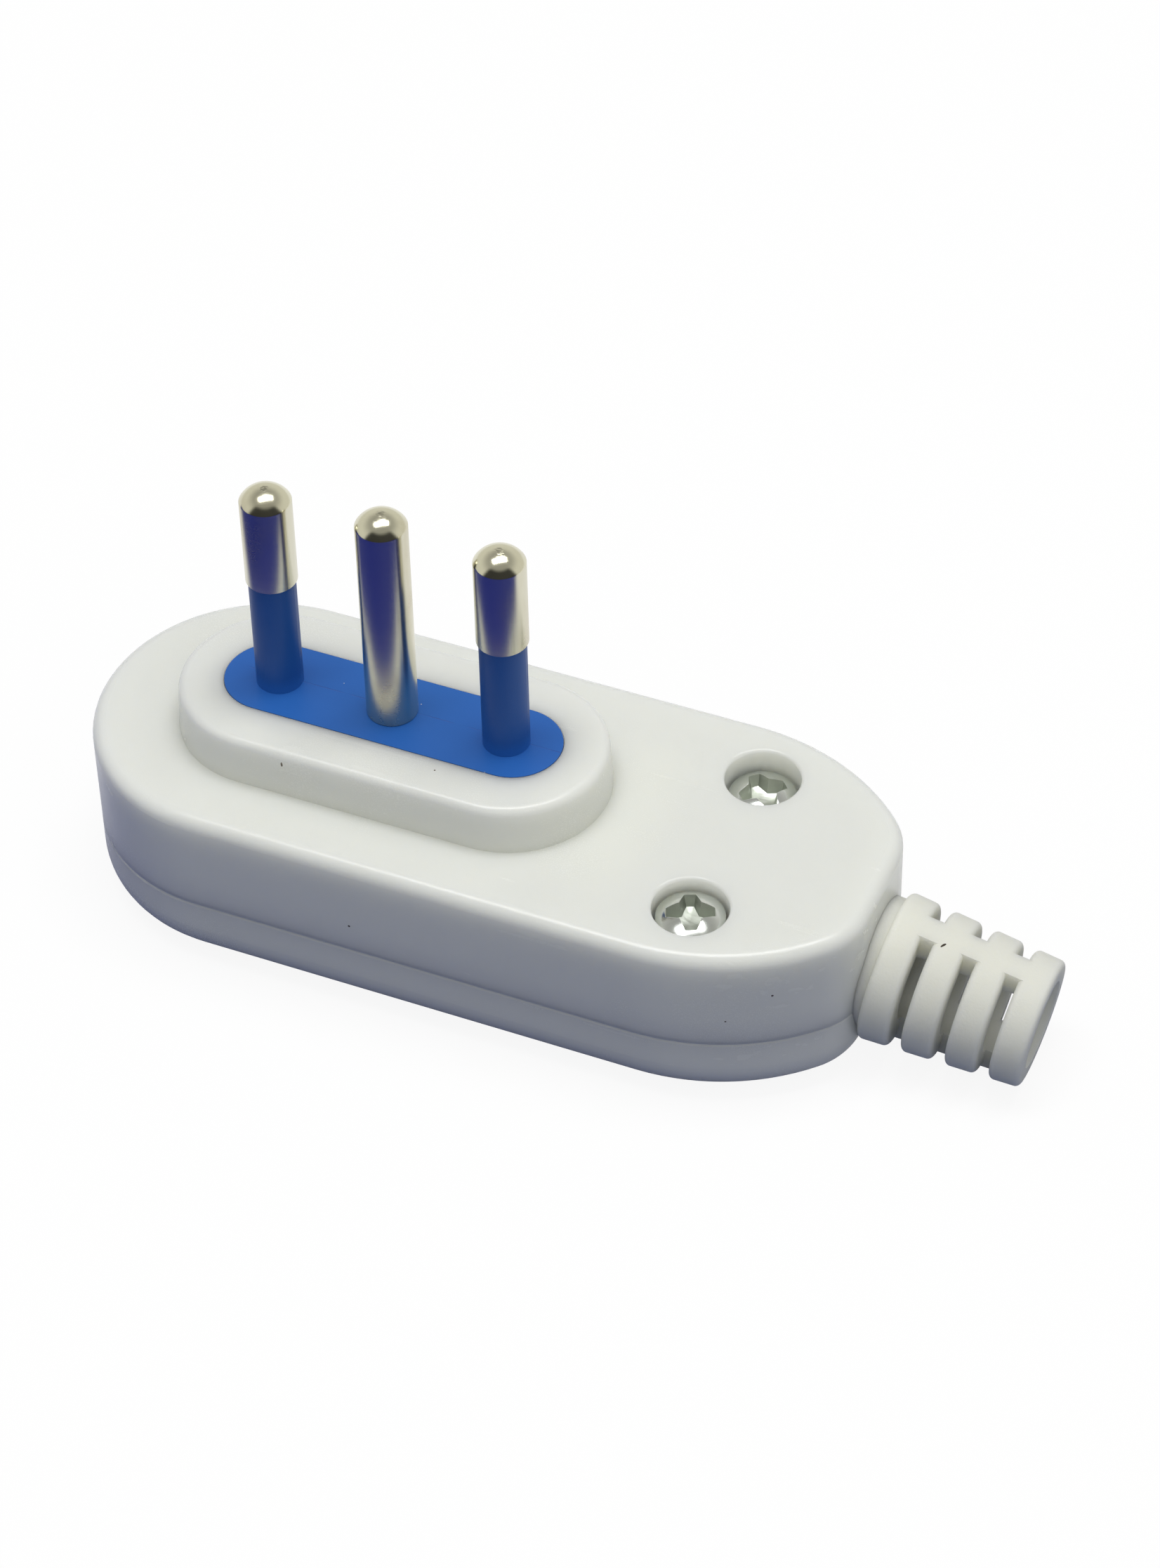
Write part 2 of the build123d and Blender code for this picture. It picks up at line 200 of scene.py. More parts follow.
def moulding_skin_group():
    """Faint cloudiness, fine grain and flow waves of an injection moulding."""
    group, given, result = new_group(
        "Moulding skin",
        [
            ("Tone", COLOR, (0.8, 0.8, 0.8, 1)),
            ("Cloud Tone", COLOR, (0.7, 0.7, 0.7, 1)),
            ("Cloud Scale", FLOAT, 90.0),
            ("Cloud Share", FLOAT, 0.5),
            ("Grain Scale", FLOAT, 9000.0),
            ("Base Roughness", FLOAT, 0.35),
            ("Roughness Spread", FLOAT, 0.1),
        ],
        [("Color", COLOR), ("Roughness", FLOAT), ("Height", FLOAT)],
    )
    cloud_roughening, cloud_height = 0.04, 0.35
    cloud = noise(group, given["Vector"], given["Cloud Scale"], detail=4.0, roughness=0.55)
    grain = noise(group, given["Vector"], given["Grain Scale"], detail=2.0, roughness=0.6)
    patch = smooth_step(group, cloud, low=0.38, high=0.66)
    share = math_node(group, "MULTIPLY", patch, given["Cloud Share"])
    link(group, mix_color(group, share, given["Tone"], given["Cloud Tone"]), result["Color"])
    spread = math_node(group, "SUBTRACT", grain, 0.5)
    rough = math_node(group, "MULTIPLY_ADD", spread, given["Roughness Spread"], given["Base Roughness"])
    link(group, math_node(group, "MULTIPLY_ADD", patch, cloud_roughening, rough), result["Roughness"])
    wave = math_node(group, "MULTIPLY", cloud, cloud_height)
    link(group, math_node(group, "ADD", grain, wave), result["Height"])
    return group


def dust_group():
    """Sparse specks: one cell in a few holds a speck, each of its own size and strength."""
    group, given, result = new_group(
        "Dust specks",
        [("Cell Scale", FLOAT, 160.0), ("Share Of Cells", FLOAT, 0.12), ("Largest Radius", FLOAT, 0.035)],
        [("Mask", FLOAT)],
    )
    strength_spread, least_strength = 0.6, 0.4
    cells = group.nodes.new("ShaderNodeTexVoronoi")
    link(group, given["Vector"], cells.inputs["Vector"])
    link(group, given["Cell Scale"], cells.inputs["Scale"])
    draws = group.nodes.new("ShaderNodeSeparateColor")
    link(group, cells.outputs["Color"], draws.inputs[0])
    chosen = math_node(group, "LESS_THAN", draws.outputs[0], given["Share Of Cells"])
    size = math_node(group, "MULTIPLY", draws.outputs[1], given["Largest Radius"])
    near = math_node(group, "LESS_THAN", cells.outputs["Distance"], size)
    strength = math_node(group, "MULTIPLY_ADD", draws.outputs[2], strength_spread, least_strength)
    seen = math_node(group, "MULTIPLY", near, chosen)
    link(group, math_node(group, "MULTIPLY", seen, strength), result["Mask"])
    return group


def placed_speck_group():
    """One speck at a given place, slightly ragged, drawn out along a given direction."""
    group, given, result = new_group(
        "Placed speck",
        [("Place", VECTOR, None), ("Radius", FLOAT, 0.0002), ("Drawn Out", VECTOR, None)],
        [("Mask", FLOAT)],
    )
    ragged_spread, least_reach = 0.8, 0.6
    offset = vector_math(group, "SUBTRACT", given["Vector"], given["Place"])
    share = vector_math(group, "DOT_PRODUCT", offset, given["Drawn Out"])
    drawn = vector_math(group, "SCALE", given["Drawn Out"], share)
    reach = vector_math(group, "LENGTH", vector_math(group, "SUBTRACT", offset, drawn))
    outline = noise(group, given["Vector"], scale=6000.0, detail=1.0)
    ragged = math_node(group, "MULTIPLY_ADD", outline, ragged_spread, least_reach)
    edge = math_node(group, "MULTIPLY", given["Radius"], ragged)
    link(group, math_node(group, "LESS_THAN", reach, edge), result["Mask"])
    return group


def parting_line_group():
    """The faint line that two mould halves leave where they meet, broken here and there."""
    group, given, result = new_group(
        "Parting line",
        [("Offset", FLOAT, 0.0), ("Half Width", FLOAT, 0.00006)],
        [("Mask", FLOAT)],
    )
    across = separated(group, given["Vector"])["Y"]
    away = math_node(group, "ABSOLUTE", math_node(group, "SUBTRACT", across, given["Offset"]))
    line = smooth_step(group, away, 0.0, given["Half Width"], out_low=1.0, out_high=0.0)
    breaks = noise(group, given["Vector"], scale=420.0, detail=2.0)
    whole = smooth_step(group, breaks, low=0.36, high=0.6)
    link(group, math_node(group, "MULTIPLY", line, whole), result["Mask"])
    return group


def scuffs_group():
    """Fine straight scuffs that cross at two angles, only in patches."""
    group, given, result = new_group(
        "Fine scuffs",
        [("Patch Scale", FLOAT, 120.0), ("Line Scale", FLOAT, 900.0)],
        [("Mask", FLOAT)],
    )
    lines = []
    for turn in (0.5, 2.1):
        drawn = stretched(group, given["Vector"], rotation=(0.2, 0.3, turn), scale=(0.03, 1, 1))
        line = noise(group, drawn, given["Line Scale"], detail=2.0, roughness=0.4)
        lines.append(smooth_step(group, line, low=0.66, high=0.72))
    patches = noise(group, given["Vector"], given["Patch Scale"], detail=2.0)
    patch = smooth_step(group, patches, low=0.5, high=0.62)
    link(group, math_node(group, "MULTIPLY", math_node(group, "MAXIMUM", *lines), patch), result["Mask"])
    return group


def turning_marks_group():
    """Rings that a lathe leaves round a pin and over its tip, with a slow stain and a torn middle, coloured
    nearly black in ragged streaks.

    The distance from the turning line repeats at each pin of the row, so one finish fits all of them.
    """
    group, given, result = new_group(
        "Turning marks",
        [
            ("Metal", COLOR, (0.7, 0.7, 0.7, 1)),
            ("Stain", COLOR, (0.5, 0.45, 0.4, 1)),
            ("Row Pitch", FLOAT, pin_pitch * MM),
            ("Ring Scale", FLOAT, 3500.0),
            ("Stain Scale", FLOAT, 160.0),
            ("Base Roughness", FLOAT, 0.1),
            ("Torn Radius", FLOAT, 0.0004),
        ],
        [("Color", COLOR), ("Roughness", FLOAT), ("Height", FLOAT)],
    )
    middle_dark_color, torn_height = (0.06, 0.055, 0.05), 8.0
    ring_roughening, stain_roughening = 0.08, 0.06
    place = separated(group, given["Vector"])
    half = math_node(group, "MULTIPLY", given["Row Pitch"], 0.5)
    across = math_node(group, "WRAP", place["X"], half, math_node(group, "MULTIPLY", half, -1.0))
    y_squared = math_node(group, "MULTIPLY", place["Y"], place["Y"])
    reach = math_node(group, "SQRT", math_node(group, "MULTIPLY_ADD", across, across, y_squared))
    along = group.nodes.new("ShaderNodeCombineXYZ")
    link(group, reach, along.inputs["X"])
    link(group, place["Z"], along.inputs["Z"])
    rings = noise(group, along.outputs[0], given["Ring Scale"], detail=3.0, roughness=0.65)
    upright = stretched(group, given["Vector"], scale=(1, 1, 0.35))
    stains = noise(group, upright, given["Stain Scale"], detail=4.0, roughness=0.6)
    stain = smooth_step(group, stains, low=0.45, high=0.7)
    middle = smooth_step(group, reach, 0.0, given["Torn Radius"], out_low=1.0, out_high=0.0)
    sideways = stretched(group, given["Vector"], scale=(0.6, 1.8, 1))
    tears = noise(group, sideways, scale=5200.0, detail=2.0, roughness=0.6)
    torn = math_node(group, "MULTIPLY", middle, tears)
    # The middle of the tip is coloured nearly black in ragged streaks.
    dark = smooth_step(group, torn, low=0.3, high=0.5, out_high=0.5)
    metal = mix_color(group, stain, given["Metal"], given["Stain"])
    link(group, mix_color(group, dark, metal, middle_dark_color), result["Color"])
    rough = math_node(group, "MULTIPLY_ADD", rings, ring_roughening, given["Base Roughness"])
    link(group, math_node(group, "MULTIPLY_ADD", stain, stain_roughening, rough), result["Roughness"])
    link(group, math_node(group, "MULTIPLY_ADD", torn, torn_height, rings), result["Height"])
    return group


moulding_skin = moulding_skin_group()
dust_specks = dust_group()
placed_speck = placed_speck_group()
parting_line = parting_line_group()
fine_scuffs = scuffs_group()
turning_marks = turning_marks_group()


def placed(tree, group, vector, **values):
    """A group placed in a material with this material's own values."""
    node = tree.nodes.new("ShaderNodeGroup")
    node.node_tree = group
    link(tree, vector, node.inputs["Vector"])
    for name, value in values.items():
        node.inputs[name.replace("_", " ")].default_value = value
    return node.outputs


def finish_surface(tree, color, roughness, height, bump, **constants):
    """A Principled surface with its constant values set on its own sockets. The bump is in metres."""
    shader = tree.nodes.new("ShaderNodeBsdfPrincipled")
    for name, value in constants.items():
        shader.inputs[name.replace("_", " ")].default_value = value
    link(tree, color, shader.inputs["Base Color"])
    link(tree, roughness, shader.inputs["Roughness"])
    relief = tree.nodes.new("ShaderNodeBump")
    relief.inputs["Distance"].default_value = bump
    relief.inputs["Strength"].default_value = 1.0
    link(tree, height, relief.inputs["Height"])
    link(tree, relief.outputs["Normal"], shader.inputs["Normal"])
    output = tree.nodes.new("ShaderNodeOutputMaterial")
    link(tree, shader.outputs[0], output.inputs["Surface"])


def moulded_plastic(name, tone, cloud_tone, speck_color, specks=(), share_of_cells=0.1, base_roughness=0.3,
                    roughness_spread=0.12, grain_scale=9000.0, bump=0.000006, parting=None, raised_shade_tone=None,
                    **constants):
    """Smooth injection-moulded plastic with faint clouds, fine scuffs and a few specks.

    Each of the specks is a place and a radius in millimetres, and the direction it is drawn out along.
    parting is where a mould line runs across Y, and the raised tone darkens what stands above z = 0, a painted
    shade on the pin sleeves.
    """
    scuff_roughening, scuff_height = 0.06, -0.2
    parting_shade, parting_height = 0.4, -3.0
    raised_fully = 1.6 * MM
    material = bpy.data.materials.new(name + "_finish")
    tree = shader_nodes(material)
    vector = object_vector(tree)
    skin = placed(tree, moulding_skin, vector, Tone=(*tone, 1), Cloud_Tone=(*cloud_tone, 1), Cloud_Scale=70.0,
                  Cloud_Share=0.6, Grain_Scale=grain_scale, Base_Roughness=base_roughness,
                  Roughness_Spread=roughness_spread)
    mask = placed(tree, dust_specks, vector, Cell_Scale=260.0, Share_Of_Cells=share_of_cells,
                  Largest_Radius=0.028)["Mask"]
    for place, radius, drawn_out in specks:
        spot = placed(tree, placed_speck, vector, Place=tuple(c * MM for c in place), Radius=radius * MM,
                      Drawn_Out=drawn_out)["Mask"]
        mask = math_node(tree, "MAXIMUM", mask, spot)
    scuff = placed(tree, fine_scuffs, vector)["Mask"]
    color = mix_color(tree, mask, skin["Color"], speck_color)
    rough = math_node(tree, "MULTIPLY_ADD", scuff, scuff_roughening, skin["Roughness"])
    height = math_node(tree, "MULTIPLY_ADD", scuff, scuff_height, skin["Height"])
    # What stands above z = 0, the pin sleeves, is coloured darker: a painted shade on the same plastic as the
    # insert.
    if raised_shade_tone is not None:
        raised = smooth_step(tree, separated(tree, vector)["Z"], 0.0, raised_fully)
        color = mix_color(tree, raised, color, raised_shade_tone)
    if parting is not None:
        seam = placed(tree, parting_line, vector, Offset=parting * MM)["Mask"]
        shade = math_node(tree, "MULTIPLY", seam, parting_shade)
        color = mix_color(tree, shade, color, cloud_tone, "MULTIPLY")
        height = math_node(tree, "MULTIPLY_ADD", seam, parting_height, height)
    finish_surface(tree, color, rough, height, bump, **constants)
    return material


def plated_metal(name, metal, stain, ring_scale, base_roughness=0.1, bump=0.000004, torn_radius=0.0000001,
                 **constants):
    """Plated metal with a lathe's marks, and a torn patch, coloured nearly black, where a pin's tip was cut off.
    """
    material = bpy.data.materials.new(name + "_finish")
    tree = shader_nodes(material)
    marks = placed(tree, turning_marks, object_vector(tree), Metal=(*metal, 1), Stain=(*stain, 1),
                   Ring_Scale=ring_scale, Base_Roughness=base_roughness, Torn_Radius=torn_radius)
    finish_surface(tree, marks["Color"], marks["Roughness"], marks["Height"], bump, Metallic=1.0, **constants)
    return material


ROUND = (0.0, 0.0, 0.0)
UPRIGHT = (0.0, 0.0, 0.8)
SLANTED = (0.48, 0.68, 0.1)
case_specks = [
    ((-5.79, -7.72, -1.09), 0.08, UPRIGHT), ((5.77, -5.01, 0.0), 0.07, ROUND),
    ((1.87, -13.25, -10.44), 0.1, ROUND), ((35.11, -10.22, -8.06), 0.1, ROUND),
    ((32.03, -11.85, -10.47), 0.08, ROUND),
]
guard_specks = [((45.24, -1.01, -7.62), 0.085, SLANTED)]
insert_specks = [
    ((10.81, -1.27, 2.84), 0.11, UPRIGHT), ((10.57, -1.48, 3.37), 0.07, UPRIGHT),
    ((-10.54, -1.5, 1.48), 0.07, UPRIGHT), ((1.83, 1.3, 0.0), 0.06, ROUND),
    ((-4.68, 1.28, 0.0), 0.05, ROUND), ((9.35, -3.82, -0.01), 0.06, ROUND),
]
case_white = moulded_plastic(
    "case_white", tone=(0.80, 0.81, 0.75), cloud_tone=(0.78, 0.79, 0.728), speck_color=(0.16, 0.13, 0.09),
    specks=case_specks, share_of_cells=0.06, base_roughness=0.23, Specular_IOR_Level=0.45,
    Subsurface_Weight=0.8, Subsurface_Radius=(1.0, 0.95, 0.85), Subsurface_Scale=0.0042,
)
# The insert's raised tone is a painted shade on its sleeves.
insert_blue = moulded_plastic(
    "insert_blue", tone=(0.02, 0.128, 0.47), cloud_tone=(0.016, 0.114, 0.43), speck_color=(0.3, 0.38, 0.55),
    specks=insert_specks, share_of_cells=0.14, base_roughness=0.42, parting=0.3,
    raised_shade_tone=(0.012, 0.085, 0.34), Specular_IOR_Level=0.32,
)
guard_white = moulded_plastic(
    "guard_white", tone=(0.75, 0.75, 0.675), cloud_tone=(0.72, 0.715, 0.64), speck_color=(0.05, 0.035, 0.02),
    specks=guard_specks, share_of_cells=0.03, base_roughness=0.62, roughness_spread=0.2, grain_scale=5000.0,
    bump=0.000035, Specular_IOR_Level=0.3,
    Subsurface_Weight=0.7, Subsurface_Radius=(1.0, 0.95, 0.8), Subsurface_Scale=0.003,
)
grip_white = moulded_plastic(
    "grip_white", tone=(0.72, 0.72, 0.68), cloud_tone=(0.66, 0.66, 0.62), speck_color=(0.2, 0.18, 0.14),
    base_roughness=0.5,
)
pin_nickel = plated_metal(
    "pin_nickel", metal=(0.68, 0.66, 0.54), stain=(0.6, 0.56, 0.43), ring_scale=3500.0,
    base_roughness=0.19, bump=0.0000015, Anisotropic=0.7, Anisotropic_Rotation=0.25,
)
tip_nickel = plated_metal(
    "tip_nickel", metal=(0.69, 0.67, 0.52), stain=(0.6, 0.56, 0.42), ring_scale=2600.0,
    base_roughness=0.13, bump=0.000005, torn_radius=0.0008,
)
screw_zinc = plated_metal("screw_zinc", metal=(0.72, 0.75, 0.73), stain=(0.6, 0.63, 0.58), ring_scale=1800.0)
# The recess is the same plating as the head, coloured darker there: a painted shade in the recess.
recess_shade_zinc = plated_metal(
    "recess_shade_zinc", metal=(0.6, 0.63, 0.57), stain=(0.46, 0.49, 0.44), ring_scale=1500.0,
    base_roughness=0.36, bump=0.00005,
)
# Near-white zinc for the rounded edges of the cross screws: a painted highlight along their edges.
edge_highlight_zinc = plated_metal(
    "edge_highlight_zinc", metal=(0.96, 0.97, 0.96), stain=(0.92, 0.94, 0.91), ring_scale=1800.0, base_roughness=0.3,
)

finishes = {
    "base_shell": case_white,
    "cover_shell": case_white,
    "pin_carrier": insert_blue,
    "cord_guard": guard_white,
    "cord_grip_bar": grip_white,
}
for node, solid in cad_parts.items():
    finish = finishes.get(node, pin_nickel if node.endswith("_pin") else screw_zinc)
    solid.data.materials.clear()
    solid.data.materials.append(finish)


def smooth_with_edges(mesh, sharp_from):
    """Smooth shading, but for edges that turn by more than an angle in radians."""
    mesh.shade_smooth()
    mesh.set_sharp_from_angle(angle=sharp_from)


def shaped_object(name, shape):
    """A bmesh in millimetres made an object of the scene, in metres."""
    bmesh.ops.recalc_face_normals(shape, faces=shape.faces)
    bmesh.ops.scale(shape, vec=(MM, MM, MM), verts=shape.verts)
    mesh = bpy.data.meshes.new(name)
    shape.to_mesh(mesh)
    shape.free()
    made = bpy.data.objects.new(name, mesh)
    bpy.context.scene.collection.objects.link(made)
    return made


def turned(name, profile, segments, x=0.0):
    """A solid turned about an upright line at x from its outline of (radius, height), both ends on the line."""
    shape = bmesh.new()
    rows = []
    for radius, height in profile:
        angles = [2 * pi * step / segments for step in range(segments if radius else 1)]
        rows.append([shape.verts.new((x + radius * cos(a), radius * sin(a), height)) for a in angles])
    for low, high in zip(rows, rows[1:]):
        for step in range(segments):
            after = (step + 1) % segments
            corners = []
            for row, place in ((low, step), (low, after), (high, after), (high, step)):
                corner = row[place % len(row)]
                if corner not in corners:
                    corners.append(corner)
            shape.faces.new(corners)
    return shaped_object(name, shape)


def apply_modifiers(made):
    """Gives the object the shape that its modifiers make, as its own plain mesh."""
    bpy.context.view_layer.update()
    mesh = bpy.data.meshes.new_from_object(made.evaluated_get(bpy.context.evaluated_depsgraph_get()))
    made.modifiers.clear()
    made.data = mesh


def cut_away(made, tool):
    """Takes the tool's shape out of the object, and the tool out of the scene."""
    cut = made.modifiers.new("cut", "BOOLEAN")
    cut.operation = "DIFFERENCE"
    cut.solver = "EXACT"
    cut.object = tool
    apply_modifiers(made)
    bpy.data.objects.remove(tool)


def soften_edges(made, width, material=-1):
    """Rounds the sharp edges. The new faces get the material of that number, and keep their own for -1."""
    rounding = made.modifiers.new("soft edges", "BEVEL")
    rounding.width = width * MM
    rounding.segments = 2
    rounding.limit_method = "ANGLE"
    rounding.angle_limit = radians(28)
    rounding.use_clamp_overlap = True
    rounding.material = material
    apply_modifiers(made)


def dome(radius, rise, foot, steps):
    """Points of a dome from its rim up to its crown."""
    ball = (radius * radius + rise * rise) / (2 * rise)
    angles = [asin(radius / ball) * (1 - i / steps) for i in range(steps + 1)]
    return [(ball * sin(a), foot + rise - ball + ball * cos(a)) for a in angles]


def pin_piece(node):
    """A turned pin: domed tip with a fine crease under it, collar, and drilled terminal head."""
    low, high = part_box(node)
    x = (low[0] + high[0]) / 2 / MM
    straight = high[2] / MM - pin_dome
    neck, neck_top = (neck_radius, 0.0) if node == "earth_pin" else (sleeve_core_radius, sleeve_top)
    terminal = [
        (0, wire_hole_z), (terminal_bore_radius, wire_hole_z), (terminal_bore_radius, terminal_foot),
        (terminal_radius - terminal_chamfer, terminal_foot), (terminal_radius, terminal_foot + terminal_chamfer),
        (terminal_radius, terminal_top - terminal_chamfer), (terminal_radius - terminal_chamfer, terminal_top),
        (neck_radius, terminal_top),
    ]
    anchor = [
        (neck_radius, anchor_foot), (anchor_radius, anchor_foot), (anchor_radius, anchor_top), (neck, anchor_top),
    ]
    shaft = [(neck, neck_top), (pin_radius - pin_edge, neck_top), (pin_radius, neck_top + pin_edge)]
    crease = [(pin_radius, straight - 0.05), (pin_radius - crease_depth / 2, straight - 0.01)]
    tip = dome(pin_radius - crease_depth, pin_dome - crease_depth, straight + crease_depth, steps=22)
    piece = turned(node + "_turned", [*terminal, *anchor, *shaft, *crease, *tip], segments=96, x=x)
    drill = turned("wire hole", [(0, -4), (wire_hole_radius, -4), (wire_hole_radius, 4), (0, 4)], segments=32)
    drill_place = Matrix.Translation(Vector((x, 0, wire_hole_z)) * MM)
    drill.data.transform(drill_place @ Matrix.Rotation(pi / 2, 4, "X"))
    cut_away(piece, drill)
    smooth_with_edges(piece.data, sharp_from=0.45)
    piece.data.materials.append(pin_nickel)
    piece.data.materials.append(tip_nickel)
    for face in piece.data.polygons:
        face.material_index = int(face.center.z > straight * MM)
    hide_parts(node)
    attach(piece, "root")


def screw_thread_tree():
    """Geometry Nodes: a thread of three-sided section wound round a shank that hangs below z = 0."""
    tree = bpy.data.node_groups.new("Screw thread", "GeometryNodeTree")
    tree.interface.new_socket("Geometry", in_out="INPUT", socket_type="NodeSocketGeometry")
    for name in ("Thread Radius", "Pitch", "Length", "Tooth"):
        tree.interface.new_socket(name, in_out="INPUT", socket_type=FLOAT)
    tree.interface.new_socket("Finish", in_out="INPUT", socket_type="NodeSocketMaterial")
    tree.interface.new_socket("Geometry", in_out="OUTPUT", socket_type="NodeSocketGeometry")
    given = tree.nodes.new("NodeGroupInput").outputs
    result = tree.nodes.new("NodeGroupOutput").inputs
    line_radius = math_node(tree, "SUBTRACT", given["Thread Radius"], given["Tooth"])
    helix = tree.nodes.new("GeometryNodeCurveSpiral")
    helix.inputs["Resolution"].default_value = 20
    link(tree, math_node(tree, "DIVIDE", given["Length"], given["Pitch"]), helix.inputs["Rotations"])
    link(tree, line_radius, helix.inputs["Start Radius"])
    link(tree, line_radius, helix.inputs["End Radius"])
    link(tree, given["Length"], helix.inputs["Height"])
    section = tree.nodes.new("GeometryNodeCurvePrimitiveCircle")
    section.inputs["Resolution"].default_value = 3
    link(tree, given["Tooth"], section.inputs["Radius"])
    wound = tree.nodes.new("GeometryNodeCurveToMesh")
    wound.inputs["Fill Caps"].default_value = True
    link(tree, helix.outputs[0], wound.inputs["Curve"])
    link(tree, section.outputs[0], wound.inputs["Profile Curve"])
    lowered = tree.nodes.new("GeometryNodeTransform")
    drop = tree.nodes.new("ShaderNodeCombineXYZ")
    link(tree, math_node(tree, "MULTIPLY", given["Length"], -1.0), drop.inputs["Z"])
    link(tree, wound.outputs[0], lowered.inputs["Geometry"])
    link(tree, drop.outputs[0], lowered.inputs["Translation"])
    real = tree.nodes.new("GeometryNodeRealizeInstances")
    link(tree, lowered.outputs[0], real.inputs[0])
    plated = tree.nodes.new("GeometryNodeSetMaterial")
    link(tree, real.outputs[0], plated.inputs["Geometry"])
    link(tree, given["Finish"], plated.inputs["Material"])
    together = tree.nodes.new("GeometryNodeJoinGeometry")
    link(tree, plated.outputs[0], together.inputs[0])
    link(tree, given["Geometry"], together.inputs[0])
    link(tree, together.outputs[0], result["Geometry"])
    return tree


screw_thread = screw_thread_tree()


def wind_thread(made, length):
    """Winds the thread round a screw's shank and joins it to the mesh."""
    modifier = made.modifiers.new("thread", "NODES")
    modifier.node_group = screw_thread
    values = {"Thread Radius": thread_radius * MM, "Pitch": thread_pitch * MM, "Length": length * MM,
              "Tooth": thread_tooth * MM, "Finish": screw_zinc}
    for item in screw_thread.interface.items_tree:
        if item.in_out == "INPUT" and item.name in values:
            modifier[item.identifier] = values[item.name]
    apply_modifiers(made)


def cross_cutter(top, depth, span, arm, root, draft_deg, turn_deg):
    """The shape of a cross recess, narrower towards its foot, its walls carried on above the head."""
    above, foot_point = 0.5, 0.25
    draft = tan(radians(draft_deg))
    shape = bmesh.new()
    rows = []
    for height, inset in ((top + above, -above * draft), (top - depth, depth * draft)):
        tip, side, corner = span / 2 - inset, arm / 2 - inset, root / 2 - inset
        row = []
        for quarter in range(4):
            angle = radians(turn_deg + 90 * quarter)
            for x, y in ((tip, -side), (tip, side), (corner, corner)):
                place = (x * cos(angle) - y * sin(angle), x * sin(angle) + y * cos(angle), height)
                row.append(shape.verts.new(place))
        rows.append(row)
    high, low = rows
    low_tip = shape.verts.new((0, 0, top - depth - foot_point))
    high_tip = shape.verts.new((0, 0, top + above))
    for i in range(len(high)):
        after = (i + 1) % len(high)
        shape.faces.new((high[i], high[after], low[after], low[i]))
        shape.faces.new((low[i], low[after], low_tip))
        shape.faces.new((high[after], high[i], high_tip))
    cutter = shaped_object("cross recess", shape)
    # The recess walls get the darker zinc, a painted shade in the recess.
    cutter.data.materials.append(screw_zinc)
    cutter.data.materials.append(recess_shade_zinc)
    for face in cutter.data.polygons:
        face.material_index = 1
    return cutter


def shank(length):
    """Outline of a screw's shank, from its chamfered foot up to the underside of the head."""
    chamfer = shank_radius - shank_tip_radius
    return [(0, -length), (shank_tip_radius, -length), (shank_radius, chamfer - length), (shank_radius, 0)]


def set_down(piece, node, place, upward):
    """Moves a finished screw's mesh to its place, head up or head down."""
    turn = Matrix.Identity(4) if upward else Matrix.Rotation(pi, 4, "X")
    piece.data.transform(Matrix.Translation(Vector(place) * MM) @ turn)
    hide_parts(node)
    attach(piece, "root")


def cross_screw(node, turn_deg, upward):
    """A pan-head screw with a cross recess, softened edges and a wound thread, in place of a CAD node."""
    low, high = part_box(node)
    middle = (low + high) / 2 / MM
    length = (high[2] - low[2]) / MM - pan_height
    head_foot = high[2] / MM - pan_height if upward else low[2] / MM + pan_height
    rim = [(pan_radius - pan_edge, 0), (pan_radius, pan_edge)]
    crown = dome(pan_radius, pan_dome, pan_height - pan_dome, steps=18)
    piece = turned(node + "_threaded", [*shank(length), *rim, *crown], segments=88)
    for finish in (screw_zinc, recess_shade_zinc, edge_highlight_zinc):
        piece.data.materials.append(finish)
    cut_away(piece, cross_cutter(top=pan_height, depth=1.5, span=3.8, arm=1.0, root=1.7, draft_deg=8.0,
                                 turn_deg=turn_deg))
    # The rounded edges take the near-white zinc, a painted highlight.
    soften_edges(piece, 0.11, material=2)
    smooth_with_edges(piece.data, sharp_from=0.6)
    wind_thread(piece, length - thread_runout)
    set_down(piece, node, (middle[0], middle[1], head_foot), upward)


def slot_screw(node):
    """A cheese-head screw with a driver slot, hanging head down, in place of a CAD node."""
    low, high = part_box(node)
    middle = (low + high) / 2 / MM
    length = (high[2] - low[2]) / MM - slot_head_height
    inner = slot_head_radius - slot_head_edge
    head = [(inner, 0), (slot_head_radius, slot_head_edge), (slot_head_radius, slot_head_height - slot_head_edge),
            (inner, slot_head_height), (0, slot_head_height)]
    piece = turned(node + "_threaded", [*shank(length), *head], segments=64)
    piece.data.materials.append(screw_zinc)
    cutter_length, cutter_height = 6.0, 2.0
    lift = Matrix.Translation((0, 0, slot_head_height - slot_depth + cutter_height / 2))
    block = Matrix.Diagonal((cutter_length, slot_width, cutter_height, 1))
    shape = bmesh.new()
    bmesh.ops.create_cube(shape, size=1.0, matrix=lift @ block)
    cut_away(piece, shaped_object("driver slot", shape))
    soften_edges(piece, 0.05)
    smooth_with_edges(piece.data, sharp_from=0.6)
    wind_thread(piece, length - thread_runout)
    set_down(piece, node, (middle[0], middle[1], low[2] / MM + slot_head_height), upward=False)


cross_screw("housing_screw_left", 42.8, upward=True)
cross_screw("housing_screw_right", 22.8, upward=True)
for side in ("left", "right"):
    cross_screw("cord_grip_screw_" + side, 30.0, upward=False)
for pin_name in ("neutral", "earth", "live"):
    slot_screw(pin_name + "_terminal_screw")
for node in ("neutral_pin", "earth_pin", "live_pin"):
    pin_piece(node)


